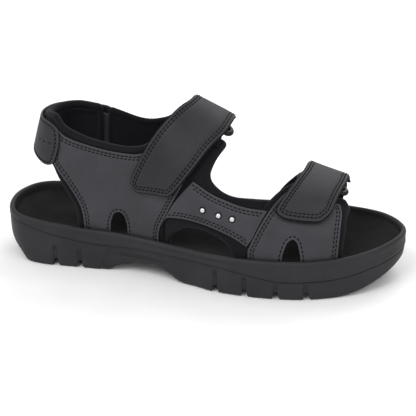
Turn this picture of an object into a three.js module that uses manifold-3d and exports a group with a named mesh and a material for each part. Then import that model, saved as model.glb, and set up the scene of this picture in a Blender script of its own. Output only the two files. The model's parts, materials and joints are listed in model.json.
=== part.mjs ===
// Strappy sport sandal, right foot. Millimetres, +Z up, +X from heel to toe, +Y towards the medial side.
// Every upper piece is drawn flat as a pattern piece and then bent onto the surface of the last,
// which is the shape of the foot inside the sandal.
import * as THREE from 'three';
import { mergeVertices } from 'three/addons/utils/BufferGeometryUtils.js';
import Module from 'manifold-3d';

const wasm = await Module();
wasm.setup();

// Overall sizes
const soleLength = 286;
const soleWidth = 105;
const instepHeight = 115; // crest of the last at the instep strap

// Sole
const wallThickness = 3.8; // cup wall round the footbed
const treadHeight = 14; // ground to the top of the outsole core
const lipDrop = 3; // rim down to the edge of the footbed cover
const dish = 3.5; // hollow of the footbed
const floorThickness = 2.5;
const boardThickness = 1.5;
const coverThickness = 1.5;
const rebate = 1.9; // rim of the outsole that laps up outside the cup
const toeSpring = 17;
const grooveWidth = 4;
const grooveDepth = 4.5;

// Upper layers, counted outwards from the last
const fit = 0.4; // clearance between layers
const liningThickness = 1.5;
const leatherThickness = 1.6;
const patchThickness = 0.8;
const flapThickness = 2;
const padThickness = 2;
const tuck = 6; // depth of the panels in the slot beside the footbed

// Loops and studs
const barRadius = 1.4;
const loopHalfHeight = 3.6;
const loopHalfLength = 16.8;
const barFit = 0.35;
const webbing = 1.1;
const studRadius = 1.8;

const scaleX = soleLength / 286;
const scaleY = soleWidth / 105;
const lining = [0, liningThickness];
const leather = [lining[1] + fit, lining[1] + fit + leatherThickness];
const loopPatch = [leather[1] + fit, leather[1] + fit + patchThickness];
const hookPatch = [loopPatch[1] + fit, loopPatch[1] + fit + patchThickness];
const flapLayer = [hookPatch[1] + fit, hookPatch[1] + fit + flapThickness];
const padLayer = [lining[1] + fit, lining[1] + fit + padThickness];
const heelLayer = [padLayer[1] + fit, padLayer[1] + fit + leatherThickness];
const panelInset = wallThickness + fit + leather[1];
const halfTurn = 90; // half of the heel arc in the wrap pattern
const heelStart = 55; // where the sides end and the heel arc starts

// Cubic curve through points [x, value], level beyond its ends.
function through(points) {
  const slope = points.map((p, i) => {
    const a = points[Math.max(i - 1, 0)];
    const b = points[Math.min(i + 1, points.length - 1)];
    return (b[1] - a[1]) / (b[0] - a[0]);
  });
  return (x) => {
    let i = points.findIndex((p) => p[0] > x) - 1;
    if (i === -2) return points.at(-1)[1];
    if (i === -1) return points[0][1];
    const [a, b] = [points[i], points[i + 1]];
    const span = b[0] - a[0];
    const t = (x - a[0]) / span;
    const h = t * t * (3 - 2 * t);
    const bend = t * (1 - t) * span * (slope[i] * (1 - t) - slope[i + 1] * t);
    return a[1] + (b[1] - a[1]) * h + bend;
  };
}

// Plan of the rim: heel tip, lateral side, toe tip, medial side.
const rimPlan = [
  [6.2, -5], [9.5, -23], [19, -35], [36, -39.3], [60, -38.8], [94, -38.6], [117, -41.8], [140, -47.6],
  [163, -53.4], [185, -55.6], [206, -55.4], [228, -52.2], [248, -45], [266, -35], [281, -21.5],
  [289.5, -8], [292.4, 6], [287.5, 19], [276, 33], [262, 42], [244, 47.6], [215, 49], [185, 45.5],
  [154, 43.5], [120, 39], [85, 35], [50, 32.5], [30, 30.5], [16, 21.5], [8.5, 8],
];
const toeIndex = 16;
const rimCurve = new THREE.CatmullRomCurve3(
  rimPlan.map(([x, y]) => new THREE.Vector3(x * scaleX, y * scaleY, 0)), true,
);
const rimHeight = through([[6, 36], [60, 33], [120, 30.5], [190, 30], [250, 31], [292, 36]]);
const partingHeight = through([
  [6, 31], [24, 30], [45, 24], [75, 21], [115, 22], [165, 22], [195, 17.5], [211, 15], [231, 15],
  [252, 16], [278, 21], [292, 24],
]);
const toeLift = (x) => Math.max(0, (x / scaleX - 245) / 47) ** 2;
const groundHeight = (x) => toeSpring * toeLift(x);
const coreHeight = (x) => treadHeight + 8 * toeLift(x);
const rimZ = (x) => rimHeight(x / scaleX);
const partingZ = (x) => partingHeight(x / scaleX);

// Ring of points round the sole, at a distance inside the rim; the first is the heel tip.
const ringHalf = 34;
function ring(inset, height) {
  const toe = toeIndex / rimPlan.length;
  const points = [];
  for (let k = 0; k < 2 * ringHalf; k += 1) {
    const part = k <= ringHalf ? (k / ringHalf) * toe : toe + (k / ringHalf - 1) * (1 - toe);
    const p = rimCurve.getPoint(part);
    const tangent = rimCurve.getTangent(part);
    p.x -= tangent.y * inset;
    p.y += tangent.x * inset;
    p.z = height(p.x);
    points.push(p);
  }
  return points;
}

// Closed solid through a stack of rings, closed at both ends by strips across the sole.
function stack(rings) {
  const count = 2 * ringHalf;
  const position = rings.flat().flatMap((p) => [p.x, p.y, p.z]);
  const index = [];
  rings.slice(1).forEach((_, level) => {
    for (let k = 0; k < count; k += 1) {
      const a = level * count + k;
      const b = level * count + ((k + 1) % count);
      index.push(a, b, b + count, a, b + count, a + count);
    }
  });
  [0, (rings.length - 1) * count].forEach((start, end) => {
    for (let k = 0; k < ringHalf; k += 1) {
      const a = start + k;
      const b = start + k + 1;
      const c = start + count - k - 1;
      const d = start + ((count - k) % count);
      const faces = [...(b === c ? [] : [a, b, c]), ...(a === d ? [] : [a, c, d])];
      index.push(...(end ? faces : faces.reverse()));
    }
  });
  return closed(position, index);
}

function closed(position, index) {
  let volume = 0;
  const at = (i) => new THREE.Vector3().fromArray(position, 3 * i);
  for (let i = 0; i < index.length; i += 3) {
    volume += at(index[i]).dot(at(index[i + 1]).cross(at(index[i + 2])));
  }
  const geometry = new THREE.BufferGeometry();
  geometry.setAttribute('position', new THREE.Float32BufferAttribute(position, 3));
  geometry.setIndex(volume < 0 ? [...index].reverse() : index);
  return geometry;
}

// Base line of the panels in plan, as a curve of x for each side.
function baseLine(from, to) {
  const points = [];
  for (let k = 0; k <= 60; k += 1) {
    const part = (from + ((to - from) * k) / 60) / rimPlan.length;
    const [p, tangent] = [rimCurve.getPoint(part), rimCurve.getTangent(part)];
    points.push([p.x - tangent.y * panelInset, p.y + tangent.x * panelInset]);
  }
  return through(points.sort((a, b) => a[0] - b[0]));
}
const lateralBase = baseLine(3, toeIndex - 2);
const medialBase = baseLine(rimPlan.length - 3, toeIndex + 2);

// The last: base line, crest line and the fullness of each section between them.
const baseZ = 28;
const instepRise = instepHeight - 115;
const crestHeight = through([
  [45, 165], [60, 160], [80, 150], [100, 138], [120, 126], [139, 115], [166, 101.5], [200, 81],
  [219, 70.5], [248, 61.5], [275, 55],
]);
const crestZ = (x) => crestHeight(x) + instepRise * Math.exp(-(((x - 139) / 60) ** 2));
const crestY = through([[45, 0], [139, 4], [200, 4], [250, 5]]);
const fullness = through([[45, 1.5], [100, 1.7], [139, 2.1], [200, 2.2], [250, 2.2]]);

function sideY(x, height, side) {
  const base = side < 0 ? lateralBase(x * scaleX) : medialBase(x * scaleX);
  const share = Math.min(Math.max((height - baseZ) / (crestZ(x) - baseZ), 0), 1);
  return crestY(x) + (base - crestY(x)) * Math.sqrt(1 - share ** fullness(x));
}

// Pattern over the foot: x, and degrees round the section from lateral base to medial base.
const over = {
  inSteps: (p) => new THREE.Vector2(p.x / 18, p.y / 7.5),
  point(x, degrees) {
    const side = degrees < 90 ? -1 : 1;
    const angle = side < 0 ? degrees : 180 - degrees;
    const share = Math.sin(THREE.MathUtils.degToRad(Math.max(angle, 0))) ** (2 / fullness(x));
    const height = baseZ + (crestZ(x) - baseZ) * share;
    return new THREE.Vector3(x * scaleX, sideY(x, height, side), height + Math.min(angle, 0));
  },
  outward: 1,
};

// Pattern round the heel: length from the heel back, lateral negative, and height.
const wrap = {
  inSteps(p) {
    const round = THREE.MathUtils.clamp(p.x, -halfTurn / 2, halfTurn / 2);
    return new THREE.Vector2(round / 7 + (p.x - round) / 16, p.y / 12);
  },
  point(u, height) {
    const turn = Math.min(Math.max(u / halfTurn, -0.5), 0.5) * Math.PI;
    const along = heelStart + Math.max(Math.abs(u) - halfTurn / 2, 0);
    const left = sideY(along, height, -1);
    const right = sideY(along, height, 1);
    const radius = (right - left) / 2 - Math.max(0, height - 80) * 0.12;
    const x = along * scaleX - radius * Math.cos(turn);
    const y = (left + right) / 2 + ((right - left) / 2) * Math.sin(turn);
    return new THREE.Vector3(x, y, height);
  },
  outward: -1,
};
const lateralAt = (x) => -(x - heelStart + halfTurn / 2);
const medialAt = (x) => x - heelStart + halfTurn / 2;

// Point of a pattern, moved outwards from the last by an offset.
function onLast(chart, u, v, offset) {
  const d = 0.8;
  const across = chart.point(u + d, v).sub(chart.point(u - d, v));
  const up = chart.point(u, v + d).sub(chart.point(u, v - d));
  const normal = across.cross(up).normalize().multiplyScalar(offset * chart.outward);
  return chart.point(u, v).add(normal);
}

// Outline through corners [u, v, rounding].
function outline(corners) {
  const count = corners.length;
  const corner = corners.map(([u, v]) => new THREE.Vector2(u, v));
  return corner.flatMap((here, i) => {
    const rounding = corners[i][2] ?? 0;
    if (rounding === 0) return [here];
    const toward = (other) => {
      const reach = Math.min(rounding / here.distanceTo(other), 0.5);
      return here.clone().lerp(other, reach);
    };
    const before = toward(corner[(i + count - 1) % count]);
    const after = toward(corner[(i + 1) % count]);
    return new THREE.QuadraticBezierCurve(before, here, after).getPoints(3);
  });
}

// Length of a pattern edge in steps, so that an edge to be split is longer than 1.
function span(chart, a, b) {
  return chart.inSteps(a).distanceTo(chart.inSteps(b));
}

// For each directed edge: its face and the corner opposite.
function edgesOf(faces) {
  const edges = new Map();
  faces.forEach((face, i) => face.forEach((a, k) => {
    edges.set(`${a},${face[(k + 1) % 3]}`, { a, b: face[(k + 1) % 3], face: i, corner: face[(k + 2) % 3] });
  }));
  return edges;
}

// Runs an action on every inner edge whose two faces are still untouched; says whether any ran.
function onInnerEdges(faces, order, action) {
  const edges = edgesOf(faces);
  const touched = new Set();
  order([...edges.values()].filter(({ a, b }) => a < b)).forEach((edge) => {
    const twin = edges.get(`${edge.b},${edge.a}`);
    if (!twin || touched.has(edge.face) || touched.has(twin.face)) return;
    if (action(edge, twin, edges)) touched.add(edge.face).add(twin.face);
  });
  return touched.size > 0;
}

// Turns inner edges until no face is a sliver.
function flipEdges(chart, points, faces) {
  const angle = (a, corner, b) => {
    const here = chart.inSteps(points[corner]);
    const [p, q] = [a, b].map((k) => chart.inSteps(points[k]).sub(here));
    return Math.abs(Math.atan2(p.cross(q), p.dot(q)));
  };
  const area = (a, b, c) => {
    const [p, q, r] = [a, b, c].map((k) => chart.inSteps(points[k]));
    return q.sub(p).cross(r.sub(p));
  };
  let turned = true;
  for (let pass = 0; pass < 40 && turned; pass += 1) {
    turned = onInnerEdges(faces, (list) => list, ({ a, b, face, corner }, twin, edges) => {
      if (angle(a, corner, b) + angle(a, twin.corner, b) < Math.PI + 1e-6) return false;
      if (area(a, twin.corner, corner) < 1e-6 || area(twin.corner, b, corner) < 1e-6) return false;
      const [there, back] = [`${corner},${twin.corner}`, `${twin.corner},${corner}`];
      if (edges.has(there) || edges.has(back)) return false;
      edges.set(there, null);
      faces[face] = [a, twin.corner, corner];
      faces[twin.face] = [twin.corner, b, corner];
      return true;
    });
  }
}

// Splits long inner edges, the longest first, and tidies the faces after each round.
function refine(chart, points, faces) {
  const length = ({ a, b }) => span(chart, points[a], points[b]);
  const longest = (list) => list.filter((edge) => length(edge) > 1).sort((p, q) => length(q) - length(p));
  let split = true;
  for (let pass = 0; pass < 30 && split; pass += 1) {
    flipEdges(chart, points, faces);
    split = onInnerEdges(faces, longest, ({ a, b, face, corner }, twin) => {
      const middle = points.push(points[a].clone().lerp(points[b], 0.5)) - 1;
      faces[face] = [a, middle, corner];
      faces[twin.face] = [middle, a, twin.corner];
      faces.push([middle, b, corner], [b, middle, twin.corner]);
      return true;
    });
  }
  flipEdges(chart, points, faces);
}

// Flat pattern piece between two offsets, bent onto the last.
function slab(chart, [inner, outer], corners, holes = []) {
  const loops = [corners, ...holes].map((loop) => {
    const flat = outline(loop);
    return flat.flatMap((p, i) => {
      const next = flat[(i + 1) % flat.length];
      const parts = Math.ceil(span(chart, p, next));
      const count = Math.max(parts, 1);
      return Array.from({ length: count }, (_, k) => p.clone().lerp(next, k / count));
    });
  });
  const points = loops.flat();
  const turned = THREE.ShapeUtils.isClockWise(loops[0]) ? [0, 2, 1] : [0, 1, 2];
  const faces = THREE.ShapeUtils.triangulateShape(loops[0], loops.slice(1))
    .map((face) => turned.map((k) => face[k]));
  refine(chart, points, faces);
  const count = points.length;
  const position = [inner, outer].flatMap((offset) => points.flatMap((p) => [
    ...onLast(chart, p.x, p.y, offset),
  ]));
  const edges = new Set(faces.flatMap(([a, b, c]) => [`${a},${b}`, `${b},${c}`, `${c},${a}`]));
  const index = faces.flatMap(([a, b, c]) => [a + count, b + count, c + count, c, b, a]);
  edges.forEach((edge) => {
    const [a, b] = edge.split(',').map(Number);
    if (!edges.has(`${b},${a}`)) index.push(a, b, b + count, a, b + count, a + count);
  });
  return closed(position, index);
}

// Section [v, offset] carried along the pattern's first direction, bent onto the last.
function carried(chart, section, from, to, slant = () => 0) {
  const shape = new THREE.Shape(section.map(([v, offset]) => new THREE.Vector2(v, offset)));
  const flat = new THREE.ExtrudeGeometry(shape, {
    depth: to - from, steps: 2, bevelEnabled: false, curveSegments: 5,
  });
  return bent(flat, (p) => onLast(chart, p.z + from + slant(p.x), p.x, p.y));
}

function bent(flat, place) {
  flat.deleteAttribute('normal');
  flat.deleteAttribute('uv');
  const geometry = mergeVertices(flat, 1e-4);
  const attribute = geometry.attributes.position;
  const position = [];
  for (let i = 0; i < attribute.count; i += 1) {
    position.push(...place(new THREE.Vector3().fromBufferAttribute(attribute, i)));
  }
  const index = [...geometry.index.array];
  const kept = index.flatMap((a, i) => {
    const [b, c] = [index[i + 1], index[i + 2]];
    return i % 3 === 0 && a !== b && b !== c && c !== a ? [a, b, c] : [];
  });
  return closed(position, kept);
}

function solid(geometry) {
  return new wasm.Manifold(new wasm.Mesh({
    numProp: 3,
    vertProperties: new Float32Array(geometry.attributes.position.array),
    triVerts: new Uint32Array(geometry.index.array),
  }));
}

function carved(geometry, cutters) {
  const result = cutters.reduce((body, cutter) => body.subtract(solid(cutter)), solid(geometry));
  const mesh = result.getMesh();
  return closed([...mesh.vertProperties], [...mesh.triVerts]);
}

function block(sizeX, sizeY, sizeZ, x, y, z) {
  const box = new THREE.BoxGeometry(sizeX, sizeY, sizeZ).translate(x, y, z);
  return bent(box, (p) => p);
}

const sandal = new THREE.Group();
function add(name, geometry, color, roughness, metalness = 0) {
  const material = new THREE.MeshStandardMaterial({ color, roughness, metalness });
  const mesh = new THREE.Mesh(geometry, material);
  mesh.name = name;
  sandal.add(mesh);
}
const soleColor = 0x38383b;
const leatherColor = 0x3b3b40;
const liningColor = 0x14131a;
const coverColor = 0x1d1d1d;
const patchColor = 0x17171a;
const plasticColor = 0x0c0c0e;
const steelColor = 0xc4c5c8;

// Slot beside the footbed for the panels that go down between it and the cup wall.
function slot(from, to, side) {
  const low = baseZ - tuck - fit;
  const corners = side < 0
    ? [[from, low - baseZ], [to, low - baseZ], [to, 9], [from, 9]]
    : [[from, 180 - low + baseZ], [to, 180 - low + baseZ], [to, 171], [from, 171]];
  return slab(over, [-fit, leather[1] + 2 * fit], corners);
}
const slots = [slot(60, 136, -1), slot(172, 257, -1), slot(74, 136, 1), slot(182, 247, 1)];

function outsole() {
  const body = stack([
    ring(8, groundHeight), ring(5, (x) => groundHeight(x) + 0.8),
    ring(2.6, (x) => Math.min(groundHeight(x) + 5, partingZ(x) - 4)),
    ring(1.4, (x) => Math.min(groundHeight(x) + 11, partingZ(x) - 2)),
    ring(1.2, (x) => partingZ(x) - fit), ring(rebate, (x) => partingZ(x) - fit),
    ring(rebate + 0.4, coreHeight),
  ]);
  const grooves = [47, 65, 167, 188, 210, 231].map((x) => (
    block(grooveWidth, 2 * soleWidth, 2 * grooveDepth, x * scaleX, 0, 0)));
  const archShape = new THREE.Shape();
  archShape.moveTo(86, -1);
  archShape.quadraticCurveTo(96, 9.5, 112, 9.5);
  archShape.quadraticCurveTo(132, 9.5, 142, -1);
  const arch = bent(
    new THREE.ExtrudeGeometry(archShape, { depth: 2 * soleWidth, bevelEnabled: false, curveSegments: 6 }),
    (p) => new THREE.Vector3(p.x * scaleX, p.z - soleWidth, p.y),
  );
  return carved(body, [...grooves, arch]);
}

function midsole() {
  const floorTop = (x) => coreHeight(x) + fit + floorThickness;
  return stack([
    ring(rebate + 0.4 + fit, (x) => coreHeight(x) + fit), ring(rebate + fit, partingZ), ring(0.7, partingZ),
    ring(0, (x) => partingZ(x) + 3), ring(0, (x) => rimZ(x) - 3), ring(0.7, (x) => rimZ(x) - 0.8),
    ring(1.9, rimZ), ring(3.1, (x) => rimZ(x) - 0.8), ring(wallThickness, (x) => rimZ(x) - 2.4),
    ring(wallThickness + 0.2, floorTop),
  ]);
}

const boardZ = (x) => coreHeight(x) + floorThickness + 2 * fit;
const foamZ = (x) => boardZ(x) + boardThickness + fit;
const bedInset = wallThickness + fit + 0.2;
const hollow = [[0, 0], [7, 0.45], [16, 0.85], [24, 1]];

function board() {
  return stack([ring(bedInset, boardZ), ring(bedInset, (x) => boardZ(x) + boardThickness)]);
}
function footbed() {
  const top = hollow.map(([inset, share]) => (
    ring(bedInset + inset, (x) => rimZ(x) - lipDrop - coverThickness - fit - dish * share)));
  return carved(stack([ring(bedInset, foamZ), ...top]), slots);
}
function footbedCover() {
  const low = (share) => (x) => rimZ(x) - lipDrop - coverThickness - dish * share;
  const high = (share) => (x) => rimZ(x) - lipDrop - dish * share;
  const under = hollow.map(([inset, share]) => ring(bedInset + inset, low(share))).reverse();
  const top = hollow.map(([inset, share]) => ring(bedInset + inset, high(share)));
  return carved(stack([...under, ...top]), slots);
}

add('outsole', outsole(), soleColor, 0.6);
add('midsole', midsole(), soleColor, 0.6);
add('insole_board', board(), 0x6b5a45, 0.9);
add('footbed', footbed(), 0x2a2a2c, 0.9);
add('footbed_cover', footbedCover(), coverColor, 0.95);

// Lateral side. Patterns round the heel use [length, height], the others [x, degrees].
const low = baseZ - tuck;
const L = lateralAt;
const M = medialAt;
add('lateral_quarter', slab(wrap, leather, [
  [L(69), low], [L(67.5), 46, 4], [L(58), 62, 6], [L(44), 79.5, 3], [L(44.5), 104, 3],
  [L(56.5), 96, 6], [L(87), 88.5, 12], [L(112), 88, 8], [L(128), 104], [L(147), 85],
  [L(134.6), 59], [L(124.5), 38], [L(124.5), low], [L(101), low], [L(100.5), 38], [L(97), 46, 3],
  [L(91), 46, 3], [L(88), 38], [L(87.5), low],
]), leatherColor, 0.55);
add('quarter_lining', slab(wrap, lining, [
  [L(64.5), low], [L(62.5), 46, 4], [L(53), 61, 6], [-34, 75.5, 3], [-22, 80, 6], [0, 80, 8],
  [30, 77, 8], [M(66), 75, 4], [M(69), 104.4, 4], [M(55), 106.5, 5], [0, 107, 10], [-24, 112, 6],
  [L(44), 112, 4], [L(56.5), 103.5, 6], [L(72), 97, 8], [L(97), 92.5, 10], [L(112), 95, 5],
  [L(121), 104], [L(128), 104], [L(128), 60], [L(126), low], [L(101.5), low], [L(101), 38],
  [L(97.5), 46.5, 3], [L(90.5), 46.5, 3], [L(87.5), 38], [L(87), low],
]), liningColor, 0.9);
const bridgeLining = [
  [129.3, 62], [129.3, 16], [128, -tuck], [131, -tuck], [133, 4, 3], [146, 10.5, 10], [164, 10.5, 10],
  [176, 6, 4], [183, -tuck], [187.7, -tuck], [197, 38], [200, 43.5], [188.5, 38.5, 8], [171.9, 34, 8],
  [159, 39, 6], [161.6, 50.5, 6], [167.5, 67, 5], [166, 70, 2], [140, 70, 4],
];
add('bridge_lining', slab(over, lining, bridgeLining), liningColor, 0.9);
add('lateral_bridge', slab(over, leather, [
  [125.4, 7], [130.3, 12.3, 2], [146, 14, 10], [165, 13.8, 10], [181, 11, 6], [189, 7.5],
  [192.4, 13], [200.6, 35.2, 1], [184.5, 31, 8], [163.7, 31, 6], [149, 34],
  [135.5, 19.5],
]), leatherColor, 0.55);
add('lateral_vamp', slab(over, leather, [
  [189.7, -tuck], [190, 6], [192.6, 12, 3], [201.5, 35, 6], [211, 58, 4], [213, 60.3, 2],
  [247, 60.3, 2], [249.5, 50, 6], [249.4, 20, 6], [248.8, -tuck], [226, -tuck],
  [225, 6], [223, 16, 2], [219.8, 20, 2], [216, 16, 2], [213.5, 6], [212.5, -tuck],
]), leatherColor, 0.55);
add('vamp_lining', slab(over, lining, [
  [188.4, -tuck], [197.8, 38], [201, 44], [209, 62, 4], [214, 71, 2], [250, 71, 3],
  [254.5, 60, 3], [253.4, 50, 6], [253, 20, 6], [252.6, -tuck], [226.6, -tuck], [225.6, 6],
  [223.4, 16.5, 2], [219.8, 20.6, 2], [215.6, 16.5, 2], [213, 6], [212, -tuck],
]), liningColor, 0.9);

[[157.4, 21.2], [168.5, 21.2], [178, 21.8]].forEach(([x, degrees], i) => {
  const seat = onLast(over, x, degrees, leather[1] + 0.3);
  const top = onLast(over, x, degrees, leather[1] + 1.3);
  const profile = [[0, 0], [studRadius, 0], [studRadius * 0.85, 0.6], [studRadius * 0.45, 0.95], [0, 1.05]];
  const stud = new THREE.LatheGeometry(profile.map(([r, z]) => new THREE.Vector2(r, z)), 12);
  const turn = new THREE.Quaternion().setFromUnitVectors(
    new THREE.Vector3(0, 1, 0), top.clone().sub(seat).normalize(),
  );
  add(`stud_${i + 1}`, bent(stud, (p) => p.applyQuaternion(turn).add(seat)), steelColor, 0.25, 1);
});

// Medial side
add('medial_quarter', slab(over, leather, [
  [80, 180 + tuck], [75, 165, 4], [65, 152, 4], [66, 142, 3], [100, 143.5, 10], [117, 138.5, 6],
  [124, 127.6], [155, 127.6, 2], [147, 145, 6], [133, 165, 6], [130, 180 + tuck],
]), leatherColor, 0.55);
add('medial_quarter_lining', slab(over, lining, [
  [78, 180 + tuck], [73, 165, 4], [70.5, 152, 4], [73, 138, 4], [102, 139.5, 10], [118, 134, 6],
  [125, 124.5, 3], [159, 122, 3], [157, 128, 4], [150, 145, 6], [136, 165, 6], [132, 180 + tuck],
]), liningColor, 0.9);
add('medial_vamp', slab(over, leather, [
  [194.5, 180 + tuck], [198, 171, 4], [208, 155, 5], [215, 141, 6], [221, 127.6, 2], [243, 127.6, 2],
  [242, 142, 6], [239, 160, 6], [238, 180 + tuck],
]), leatherColor, 0.55);
add('medial_vamp_lining', slab(over, lining, [
  [192, 180 + tuck], [195, 171, 4], [205, 155, 5], [212, 141, 6], [218, 122, 3], [247, 122, 3],
  [246, 142, 6], [243, 160, 6], [242, 180 + tuck],
]), liningColor, 0.9);

// Heel
const heelHinge = -13;
add('heel_pad', slab(wrap, padLayer, [
  [heelHinge + 0.4, 82, 2], [M(58), 80, 3], [M(58), 101, 3], [20, 102.5, 6], [heelHinge + 0.4, 105, 2],
]), liningColor, 0.95);
add('heel_strap', slab(wrap, heelLayer, [
  [heelHinge + 0.2, 79], [20, 80, 8], [M(72), 82, 4], [M(84), 92, 6], [M(72), 101.5, 4],
  [20, 104.5, 8], [heelHinge + 0.2, 105.5],
]), leatherColor, 0.55);
add('heel_flap', slab(wrap, heelLayer, [
  [heelHinge - 0.2, 79], [heelHinge - 0.2, 105.5], [-30, 106, 4], [-40, 103, 5], [-41, 92, 5],
  [-37, 77, 4], [-31, 75, 4],
]), leatherColor, 0.55);
add('heel_loop_patch', slab(wrap, [padLayer[0], padLayer[0] + patchThickness], [
  [-17, 82, 2], [-17, 103, 2], [-33, 101, 2], [-33, 81, 2],
]), patchColor, 0.95);
add('heel_hook_patch', slab(wrap, [padLayer[1] - patchThickness, padLayer[1]], [
  [-18, 83, 2], [-18, 102, 2], [-32, 100, 2], [-32, 82, 2],
]), patchColor, 0.95);

// One closing strap over the foot, its loop, the webbing keeper and the strap that holds it.
function closingStrap(name, { rear, front, flap, patch, loopAt, hinge, medialEnd, slant }) {
  const middle = (rear + front) / 2;
  const near = onLast(over, middle, loopAt - 2, 3);
  const far = onLast(over, middle, loopAt + 2, 3);
  const degree = 4 / near.distanceTo(far); // degrees to a millimetre of girth at the loop
  const barHeight = 2.9;
  const wrapRadius = barRadius + barFit + webbing;
  const bars = [loopAt - loopHalfHeight * degree, loopAt + loopHalfHeight * degree];

  const [l, h] = [loopHalfLength - loopHalfHeight, loopHalfHeight];
  const stadium = new THREE.Shape();
  stadium.moveTo(-l, -h);
  stadium.lineTo(l, -h);
  stadium.absarc(l, 0, h, -Math.PI / 2, Math.PI / 2, false);
  stadium.lineTo(-l, h);
  stadium.absarc(-l, 0, h, Math.PI / 2, 1.5 * Math.PI, false);
  const centre = new THREE.CatmullRomCurve3(
    stadium.getSpacedPoints(26).slice(0, -1).map((p) => new THREE.Vector3(p.x, p.y, 0)), true,
  );
  const bar = new THREE.Shape().absarc(0, 0, barRadius, 0, 2 * Math.PI, false);
  const tube = new THREE.ExtrudeGeometry(bar, { steps: 36, extrudePath: centre, curveSegments: 4 });
  add(`${name}_loop`, bent(tube, (p) => (
    onLast(over, middle + p.x, loopAt + p.y * degree, barHeight + p.z))), plasticColor, 0.3);

  // Webbing from its tail round a bar and most of the way back; tailward is -1 or 1.
  const wrapped = (at, tail, tailward) => {
    const arc = (radius) => Array.from({ length: 11 }, (_, k) => {
      const angle = ((k - 5) / 5) * THREE.MathUtils.degToRad(140);
      const v = at - tailward * Math.cos(angle) * radius * degree;
      return [v, barHeight + Math.sin(angle) * radius];
    });
    const start = at + tailward * (wrapRadius + 0.8) * degree;
    const steps = Math.ceil(Math.abs(tail - start) / 6);
    const level = leather[1] - webbing;
    const line = (height) => Array.from({ length: steps + 1 }, (_, k) => (
      [start + ((tail - start) * k) / steps, height]));
    return [
      ...arc(wrapRadius), ...arc(wrapRadius - webbing).reverse(),
      ...line(level + webbing), ...line(level).reverse(),
    ];
  };
  add(`${name}_keeper`, carried(
    over, wrapped(bars[0], loopAt - 19, -1), rear + 4, front - 3,
  ), patchColor, 0.9);
  add(`${name}_anchor_strap`, carried(
    over, wrapped(bars[1], medialEnd, 1), rear + 2, front - 2, slant,
  ), leatherColor, 0.6);

  const [inner, outer] = flapLayer;
  const drop = loopPatch[0] + 0.2;
  add(`${name}_root`, carried(over, [
    [hinge + 0.3, inner], [hinge + 0.3, outer], [hinge + 7, outer - 0.2], [hinge + 14, drop + 2.9],
    [hinge + 20, drop + flapThickness], [medialEnd + 9, drop + flapThickness], [medialEnd + 9, drop],
    [hinge + 20, drop], [hinge + 14, drop + 0.8], [hinge + 7, inner - 0.4],
  ], rear, front, slant), leatherColor, 0.55);
  const edge = [[front, hinge - 0.3], [rear, hinge - 0.3]];
  add(`${name}_flap`, slab(over, flapLayer, [...edge, ...flap]), leatherColor, 0.55);
  add(`${name}_loop_patch`, slab(over, loopPatch, patch), patchColor, 0.95);
  add(`${name}_hook_patch`, slab(over, hookPatch, patch), patchColor, 0.95);
}

closingStrap('instep', {
  rear: 137, front: 164.5, loopAt: 80, hinge: 106, medialEnd: 127, slant: (v) => -Math.max(0, v - 106) * 0.25,
  flap: [
    [136.5, 85, 6], [126.2, 60.3, 8], [114.7, 41.7, 8], [103.9, 26, 4], [108, 22.8, 3],
    [134, 23, 4], [140, 29, 4], [150.3, 42.7, 8], [163, 71, 8], [164.5, 85, 6],
  ],
  patch: [[128, 56, 2], [114, 33, 2], [132, 31, 2], [149, 54, 2]],
});
closingStrap('forefoot', {
  rear: 218.5, front: 246.8, loopAt: 80, hinge: 106, medialEnd: 127, slant: () => 0,
  flap: [
    [218, 85, 6], [214.3, 67, 8], [205.4, 36, 4], [212, 33.8, 3],
    [235, 36.5, 4], [241, 46, 4], [244.5, 70, 8], [246.8, 86, 6],
  ],
  patch: [[219, 60, 2], [213, 42, 2], [231, 43, 2], [237, 60, 2]],
});

// The finished sandal stands with the middle of its box over the origin.
const box = new THREE.Box3().setFromObject(sandal);
const centre = box.getCenter(new THREE.Vector3());
sandal.position.set(-centre.x, -centre.y, -box.min.z);

export default sandal;
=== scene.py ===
"""Looks of the strappy sport sandal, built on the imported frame. Sizes are in millimetres until a mesh is made."""
import json
import math

import bmesh
import bpy
import numpy as np
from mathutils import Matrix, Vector
from mathutils.geometry import delaunay_2d_cdt


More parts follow.
